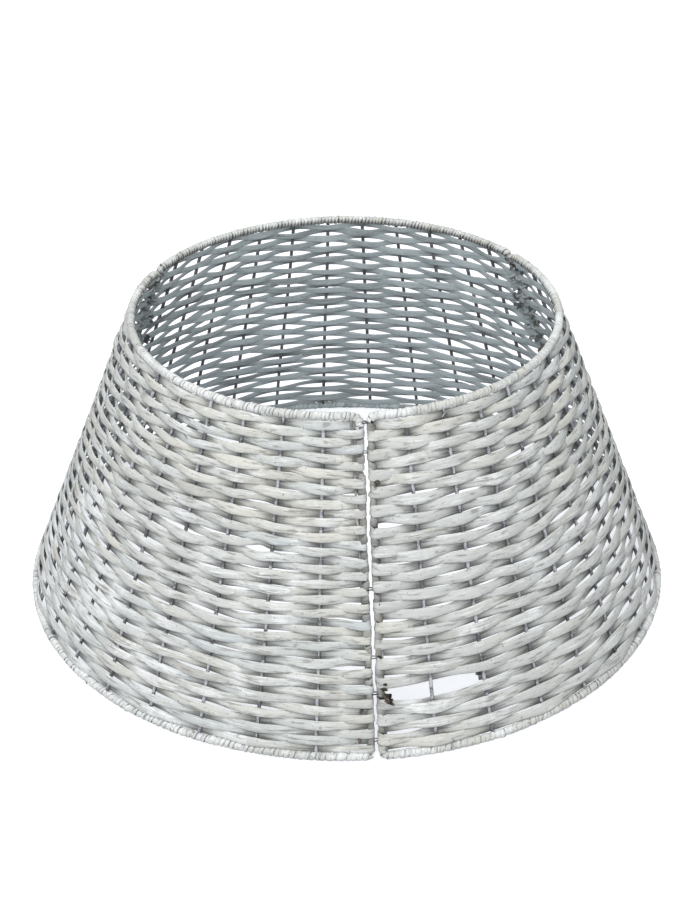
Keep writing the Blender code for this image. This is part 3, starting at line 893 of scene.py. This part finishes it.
# The right panel's row 6 is broken off between its edge wire and its second stake.
BROKEN_ROW = 6
PANELS = {
    "back": {
        "Rows": 36, "First face": 1.0, "Seed": 3.0, "gaps": BACK_GAPS,
        "Width over a stake": 1.08, "Width between stakes": 1.0, "Row wobble": 0.0042, "Edge reach": 0.0027,
    },
    "left": {"Rows": 42, "First face": 1.0, "Seed": 11.0, "gaps": LEFT_GAPS, "Uneven last edge": 1.8},
    "right": {
        "Rows": 35, "First face": -1.0, "Seed": 23.0, "gaps": RIGHT_GAPS, "Uneven first edge": 1.8,
        "Width by the first edge": 1.06, "Wider up the first edge": 0.3, "Pair gap by the first edge": 0.001,
        "Break start": BROKEN_ROW * SPANS + 0.1, "Break end": BROKEN_ROW * SPANS + 1.85,
    },
}
# Each rim's core darkening is painted shade between its turns.
RIMS = {
    "top": {
        "Rim radius": TOP_RIM_RADIUS, "Slant": SLANT, "Bend down": 1.0, "Turns": 122,
        "Core radius": 0.0023, "Strip width": 0.0044, "Strip thickness": 0.0022, "Core shade": 0.3,
    },
    "base": {
        "Rim radius": BASE_RIM_RADIUS, "Slant": 0.0, "Bend down": -1.0, "Turns": 140,
        "Core radius": 0.0026, "Strip width": 0.0054, "Strip thickness": 0.0017, "Core shade": 0.2,
        "Inner look": 1.0,
    },
}
# The left panel's upper corners are rounder than the others.
CORNER_RADII = {("left", "top"): 0.0078}
# How far down the edge each rim is wound past its corner, in metres.
RIM_REACHES = {
    ("left", "top", "Last reach"): 0.004,
    ("left", "base", "Last reach"): -0.004,
    ("back", "top", "Last reach"): 0.016,
    ("right", "base", "First reach"): 0.010,
}


def make_weave(panel, trees, material):
    """The woven strand, and the strip ends that lie on it."""
    sizes = {**WEAVE_SIZES, "Middle azimuth": PANEL_AZIMUTHS[panel], **PANELS[panel]}
    for number, gap in zip(GAP_NUMBERS, sizes.pop("gaps")):
        sizes.update({f"Gap {number} {label}": float(value) for label, value in zip(GAP_LABELS, gap)})
    weave = grow(f"{panel}_weave", trees["weave"], sizes, material)
    splices = grow(f"{panel}_strip_ends", trees["splice"], sizes, material)
    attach(weave, f"{panel}_panel")
    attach(splices, f"{panel}_panel")
    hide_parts(*[f"{panel}_weave_{part}" for part in ("lower", "middle", "upper")])


def make_wound_rim(panel, rim, tree, material):
    sizes = {**WOUND_SIZES, **RIMS[rim], "Middle azimuth": PANEL_AZIMUTHS[panel]}
    sizes["Seed"] = PANELS[panel]["Seed"]
    sizes["Corner radius"] = CORNER_RADII.get((panel, rim), CORNER_RADIUS)
    for end in ("First reach", "Last reach"):
        sizes[end] = sizes["Corner radius"] * math.pi / 2 + RIM_REACHES.get((panel, rim, end), 0.0)
    wound = grow(f"{panel}_{rim}_rim", tree, sizes, material)
    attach(wound, f"{panel}_panel")
    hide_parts(f"{panel}_{rim}_binding")


def make_stakes(panel, tree, material):
    sizes = {**STAKE_SIZES, "Middle azimuth": PANEL_AZIMUTHS[panel], "Seed": PANELS[panel]["Seed"]}
    stakes = grow(f"{panel}_stakes", tree, sizes, material)
    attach(stakes, f"{panel}_panel")
    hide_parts(*[f"{panel}_stake_{number:02d}" for number in range(1, STAKES_PER_PANEL + 1)])


def wire_mesh(name, paths, radius, material, cyclic=False, face=0.0, painted_shade=0.0):
    """Round wire or twigs along paths of points, as one plain mesh.

    A point may carry its own share of the radius. The face is 1 for a finish as on the collar's outer side
    and -1 for the inner side's, and the last argument, from 0 to 1, darkens the finish as painted shade.
    """
    curve = bpy.data.curves.new(name, "CURVE")
    curve.dimensions = "3D"
    curve.bevel_depth = radius
    curve.bevel_resolution = 3
    curve.use_fill_caps = True
    for path in paths:
        spline = curve.splines.new("POLY")
        spline.points.add(len(path) - 1)
        for spline_point, point in zip(spline.points, path):
            place, share = point if isinstance(point, tuple) else (point, 1)
            spline_point.co = (*place, 1)
            spline_point.radius = share
        spline.use_cyclic_u = cyclic
        spline.use_smooth = True
    carrier = add_object(name, curve)
    mesh = evaluated_mesh(carrier)
    bpy.data.objects.remove(carrier)
    mesh.name = name
    mesh.materials.clear()
    mesh.materials.append(material)
    strand = mesh.attributes.new("strand", "FLOAT_VECTOR", "POINT")
    strand.data.foreach_set("vector", (0.0, 0.0, face) * len(mesh.vertices))
    cut = mesh.attributes.new("cut", "FLOAT", "POINT")
    cut.data.foreach_set("value", (painted_shade,) * len(mesh.vertices))
    return add_object(name, mesh)


def edge_place(middle, side, slant):
    """A point on a panel's edge wire."""
    azimuth = middle + side * PANEL_ANGLE / 2
    return cone_point(azimuth, slant) - cone_axes(azimuth)[1] * side * EDGE_OFFSET


def make_frame_wire(panel, material):
    """The bent wire: both rims, both edges and four round corners."""
    middle = PANEL_AZIMUTHS[panel]
    path = []
    for rim, first, inwards in (("base", -1, 1), ("top", 1, -1)):
        rim_radius, slant = RIMS[rim]["Rim radius"], RIMS[rim]["Slant"]
        corner_radius = CORNER_RADII.get((panel, rim), CORNER_RADIUS)
        reach = PANEL_ANGLE / 2 - (EDGE_OFFSET + corner_radius) / rim_radius
        for share in shares(RIM_STEPS):
            path.append(cone_point(middle + first * reach * (1 - 2 * share), slant))
        side = -first
        _, along, up = cone_axes(middle + side * PANEL_ANGLE / 2)
        corner = edge_place(middle, side, slant)
        for share in shares(CORNER_STEPS)[1:]:
            angle = math.pi / 2 * share
            back = along * side * corner_radius * (1 - math.sin(angle))
            path.append(corner - back + up * inwards * corner_radius * (1 - math.cos(angle)))
    wire = wire_mesh(f"{panel}_frame_wire", [path], FRAME_WIRE_RADIUS, material, cyclic=True)
    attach(wire, f"{panel}_panel")
    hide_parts(f"{panel}_frame")


def tie_loop(azimuth, slant, opened, rng):
    """Wire bent round both edge wires, or round the right one with two arms that end past the left one."""
    normal, along, up = cone_axes(azimuth)
    centre = cone_point(azimuth, slant)
    drift = rng.uniform(-TIE_DRIFT, TIE_DRIFT)
    reach = TIE_REACH_IN_FRONT if opened else TIE_REACH
    loop = []
    for side in (1,) if opened else (1, -1):
        for share in shares(TIE_STEPS):
            angle = side * math.pi * (share - 0.5)
            across = side * (EDGE_OFFSET + (reach - TIE_NARROWER) * math.cos(angle))
            loop.append(centre + normal * reach * math.sin(angle) + along * across + up * drift * side)
    if opened:
        arm = along * -(2 * EDGE_OFFSET - ARM_SHORTER)
        rise, fall = ARM_SPREAD
        loop = [loop[0] + arm + up * rise, *loop, loop[-1] + arm - up * fall]
    return loop


def tie_tail(azimuth, slant, side):
    """The two ends of a closed tie, twisted together on the inner side of the panel that carries it."""
    normal, along, up = cone_axes(azimuth)
    anchor = cone_point(azimuth, slant, -TIE_REACH - TIE_RADIUS) + along * side * TAIL_ASIDE
    tail = []
    for share in shares(TAIL_STEPS):
        twist = math.tau * TAIL_TURNS * share
        run = along * side * TAIL_LENGTH * share - up * TAIL_DROOP * share * share
        tail.append(anchor + run + (normal * math.cos(twist) + up * math.sin(twist)) * TIE_RADIUS)
    return tail


# The photograph shows wire across the front gap at more heights than the CAD's three.
SPARE_FRONT_TIES = (0.3005, 0.0985, 0.0172)


def make_ties(material):
    """The wire ties, each in its CAD place, and a few thinner ones at the front seam."""
    rng = random.Random(5)
    carriers = {"left_hinge": "left", "right_hinge": "right", "front": "right"}
    for seam, panel in carriers.items():
        azimuth = SEAM_AZIMUTHS[seam]
        opened = seam == "front"
        slants = {}
        for number in range(1, 4):
            low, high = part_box(f"{seam}_tie_{number}")
            slants[f"{seam}_tie_{number}"] = ((low.z + high.z) / 2 - BASE_RIM_HEIGHT) / math.cos(LEAN)
        for node, slant in slants.items():
            paths = [tie_loop(azimuth, slant, opened, rng)]
            if not opened:
                paths.append(tie_tail(azimuth, slant, 1 if panel == "left" else -1))
            tie = wire_mesh(f"{node}_wire", paths, TIE_RADIUS, material)
            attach(tie, f"{panel}_panel")
            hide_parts(node)
    paths = [tie_loop(SEAM_AZIMUTHS["front"], slant, True, rng) for slant in SPARE_FRONT_TIES]
    spare = wire_mesh("front_thin_ties", paths, THIN_TIE_RADIUS, material)
    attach(spare, "right_panel")


# Cut and broken ends: the place in stakes, metres up the slope and depth in the wall, the way they point
# (out of the wall, along the row, up the slope), the length, the radius and how many strands fan out.
CUT_ENDS = {
    "right": (
        ((0.20, 0.272, 0.002), (1.0, 0.5, -0.2), 0.0038, 0.0030, 1),
        ((0.11, 0.153, 0.001), (1.0, 0.4, -0.1), 0.005, 0.0016, 1),
        ((0.12, 0.0585, 0.001), (0.7, 1.0, 0.0), 0.0115, 0.0018, 16),
        ((0.12, 0.0725, 0.001), (0.8, 0.8, -0.2), 0.0055, 0.0019, 4),
        ((1.93, 0.0665, 0.002), (-0.3, -1.0, 0.1), 0.009, 0.0007, 6),
        ((11.80, 0.325, -0.003), (-1.0, 0.2, 0.4), 0.006, 0.0022, 3),
        ((11.78, 0.249, -0.003), (-1.0, -0.5, 0.4), 0.006, 0.0026, 2),
        ((11.80, 0.219, -0.003), (-1.0, -0.7, 0.1), 0.007, 0.0027, 3),
    ),
    "left": (
        ((11.72, 0.016, 0.001), (1.0, 0.2, -0.6), 0.006, 0.0019, 2),
        ((11.77, 0.047, 0.0), (1.0, -0.4, -0.3), 0.0055, 0.0017, 1),
        ((0.20, 0.300, -0.003), (-1.0, 0.3, 0.3), 0.006, 0.0022, 3),
    ),
    "back": (
        ((0.27, 0.272, -0.003), (-1.0, 0.4, 0.4), 0.006, 0.0026, 3),
        ((0.19, 0.259, -0.003), (-1.0, 1.0, -0.2), 0.010, 0.0018, 4),
        ((11.74, 0.263, -0.003), (-1.0, -0.3, 0.4), 0.007, 0.0022, 3),
        ((11.52, 0.228, -0.003), (-1.0, 0.2, 0.1), 0.009, 0.0019, 8),
    ),
}


def fan_paths(panel, place, points_to, full_length, radius, strands, rng):
    """The strands of one cut end, each a short twig that thins a little and bends its own way."""
    stakes, slant, depth = place
    root = cone_point(stake_azimuth(panel, stakes), slant, depth)
    normal, along, up, heading = heading_from(panel, stakes, points_to)
    spread = 0 if strands == 1 else 1
    paths = []
    for _ in range(strands):
        sway = normal * rng.uniform(-0.35, 0.5) + along * rng.uniform(-0.3, 0.3) + up * rng.uniform(-0.5, 0.5)
        shift = (up * rng.uniform(-2.2, 2.2) + along * rng.uniform(-0.8, 0.8)) * radius * spread
        length = full_length * (1 - rng.uniform(0, 0.55) * spread)
        path = []
        for share in shares(TWIG_STEPS):
            bent = heading * length * share + sway * length * share * share * 0.7 * spread
            path.append((root + shift + bent, 1 - 0.35 * share))
        paths.append(path)
    return paths


def make_cut_ends(panel, material):
    rng = random.Random(f"{panel} cut ends")
    for number, (place, points_to, length, radius, strands) in enumerate(CUT_ENDS[panel], start=1):
        paths = fan_paths(panel, place, points_to, length, radius, strands, rng)
        face = min(0.0, points_to[0])
        twig = wire_mesh(f"{panel}_cut_end_{number}", paths, radius, material, face=face)
        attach(twig, f"{panel}_panel")


# Where stray willow is wound thickly round an edge wire, by the upper ends of the hinge seams: the side
# of the panel, the heights from and to, and how many strands.
EDGE_LUMPS = {
    "left": ((-1, 0.235, 0.330, 9),),
    "back": ((1, 0.215, 0.312, 9), (-1, 0.205, 0.312, 9)),
    "right": ((1, 0.215, 0.330, 9),),
}


def make_edge_lumps(panel, material):
    """Short bent strands on the inner side of the edge wires, uneven and pointing all ways."""
    rng = random.Random(f"{panel} edge lumps")
    paths = []
    for side, low, high, count in EDGE_LUMPS[panel]:
        for number in range(count):
            slant = low + (high - low) * (number + rng.uniform(0, 1)) / count
            azimuth = PANEL_AZIMUTHS[panel] + side * PANEL_ANGLE / 2
            normal, along, up = cone_axes(azimuth)
            centre = edge_place(PANEL_AZIMUTHS[panel], side, slant) - along * side * LUMP_INSET
            reach, climb = rng.uniform(0.0036, 0.0052), rng.uniform(-0.008, 0.008)
            first, sweep = rng.uniform(-2.6, -1.7), rng.uniform(3.2, 4.6)
            path = []
            for share in shares(LUMP_STEPS):
                angle = first + sweep * share
                inner = -math.cos(angle) * reach * 1.15 - LUMP_SUNK
                point = centre + normal * inner + along * side * math.sin(angle) * reach * 0.8
                path.append((point + up * climb * share, rng.uniform(0.75, 1.1)))
            paths.append(path)
    # The lumps are darkened as painted shade in the hinge corners.
    lumps = wire_mesh(f"{panel}_edge_lumps", paths, LUMP_RADIUS, material, face=-1.0, painted_shade=0.5)
    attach(lumps, f"{panel}_panel")


# Splinters that show against the background: stakes, metres up the slope, and the way they point.
SPLINTERS = {
    "left": ((2.6, 0.327, (0.6, -0.3, 0.7)), (9.2, 0.182, (0.2, 1.0, 0.15)), (4.5, 0.24, (0.5, 0.6, 0.5))),
    "right": ((7.6, 0.300, (0.7, 0.3, 0.6)), (1.9, 0.325, (0.3, 0.6, 1.0)), (9.0, 0.15, (0.5, 0.8, 0.4))),
    "back": ((11.7, 0.333, (0.5, 0.2, 0.8)), (3.0, 0.332, (0.5, 0.6, 0.6)), (6.0, 0.2, (0.4, -0.8, 0.3))),
}


def make_splinters(panel, material):
    """Thin fibres that have sprung from the strips, some at chosen spots and some anywhere."""
    rng = random.Random(f"{panel} splinters")
    spots = list(SPLINTERS[panel])
    for _ in range(SPLINTERS_ANYWHERE):
        heading = (rng.uniform(0.1, 0.5), rng.choice((-1, 1)), rng.uniform(-0.4, 0.4))
        spots.append((rng.uniform(0.5, 11.5), rng.uniform(0.02, 0.31), heading))
    paths = []
    for stakes, slant, points_to in spots:
        root = cone_point(stake_azimuth(panel, stakes), slant, SPLINTER_DEPTH)
        normal, _, up, heading = heading_from(panel, stakes, points_to)
        length = rng.uniform(0.006, 0.011)
        curl = up * rng.uniform(-0.4, 0.4) + normal * rng.uniform(-0.3, 0.1)
        path = []
        for share in shares(SPLINTER_STEPS):
            path.append((root + (heading + curl * share) * length * share, 1 - 0.75 * share))
        paths.append(path)
    splinters = wire_mesh(f"{panel}_splinters", paths, SPLINTER_RADIUS, material)
    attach(splinters, f"{panel}_panel")


def make_camera():
    camera = add_object("camera", bpy.data.cameras.new("camera"))
    camera.data.sensor_width = SENSOR_MM
    camera.data.lens = FOCAL_PIXELS * SENSOR_MM / PHOTO_HEIGHT
    away = Vector((math.cos(CAMERA_AZIMUTH), math.sin(CAMERA_AZIMUTH), 0))
    right = Vector((-away.y, away.x, 0))
    place = away * CAMERA_DISTANCE + right * CAMERA_SIDE + Vector((0, 0, CAMERA_HEIGHT))
    heading = CAMERA_AZIMUTH + math.pi / 2
    turn = Matrix.Rotation(heading, 4, "Z") @ Matrix.Rotation(math.pi / 2 + CAMERA_PITCH, 4, "X")
    camera.matrix_world = Matrix.Translation(place) @ turn @ Matrix.Rotation(CAMERA_ROLL, 4, "Z")
    bpy.context.scene.camera = camera


def make_studio():
    """A white floor lit from below, as on a photographer's table, and soft light from the front and above."""
    reach = 6.0
    corners = [(-reach, -reach, 0), (reach, -reach, 0), (reach, reach, 0), (-reach, reach, 0)]
    floor_mesh = bpy.data.meshes.new("floor")
    floor_mesh.from_pydata(corners, [], [(0, 1, 2, 3)])
    floor = add_object("floor", floor_mesh)
    constants = {"Roughness": 0.9, "Base Color": (0.6, 0.6, 0.63, 1), "Emission Strength": 1.0}
    paper = Finish("white_paper", constants)
    seen = paper.node("ShaderNodeLightPath", output="Is Camera Ray")
    paper.connect(Emission_Color=paper.blend(seen, (0, 0, 0, 1), (0.64, 0.65, 0.67, 1)))
    floor_mesh.materials.append(paper.material)

    world = bpy.data.worlds.new("studio")
    bpy.context.scene.world = world
    world.use_nodes = True
    sky = Graph(world.node_tree)
    seen = sky.node("ShaderNodeLightPath", output="Is Camera Ray")
    colour = sky.blend(seen, (0.95, 0.98, 1.0, 1), (1.7, 1.7, 1.7, 1))
    background = world.node_tree.nodes["Background"]
    world.node_tree.links.new(colour.output, background.inputs["Color"])
    background.inputs["Strength"].default_value = 0.6

    for name, place, size, power in (
        ("overhead", Vector((-0.2, -0.5, 2.8)), 1.3, 36.0),
        ("front", Vector((-0.75, -2.7, 2.3)), 1.3, 52.0),
    ):
        light = bpy.data.lights.new(name, "AREA")
        light.size = size
        light.energy = power
        lamp = add_object(name, light)
        lamp.location = place
        lamp.rotation_euler = (-place).to_track_quat("-Z", "Y").to_euler()
    bpy.context.scene.view_settings.view_transform = "Standard"


make_camera()
make_studio()
MATERIALS = make_materials()
WEAVE_TREES = {"weave": weave_tree(), "splice": splice_tree()}
WOUND_TREE = wound_tree()
STAKE_TREE = stake_tree()
for panel_name in PANELS:
    make_weave(panel_name, WEAVE_TREES, MATERIALS["woven_willow"])
    make_stakes(panel_name, STAKE_TREE, MATERIALS["stake_wire"])
    make_frame_wire(panel_name, MATERIALS["frame_wire"])
    for rim_name in RIMS:
        make_wound_rim(panel_name, rim_name, WOUND_TREE, MATERIALS["wound_willow"])
    make_cut_ends(panel_name, MATERIALS["cut_willow"])
    make_edge_lumps(panel_name, MATERIALS["woven_willow"])
    make_splinters(panel_name, MATERIALS["woven_willow"])
make_ties(MATERIALS["tie_wire"])
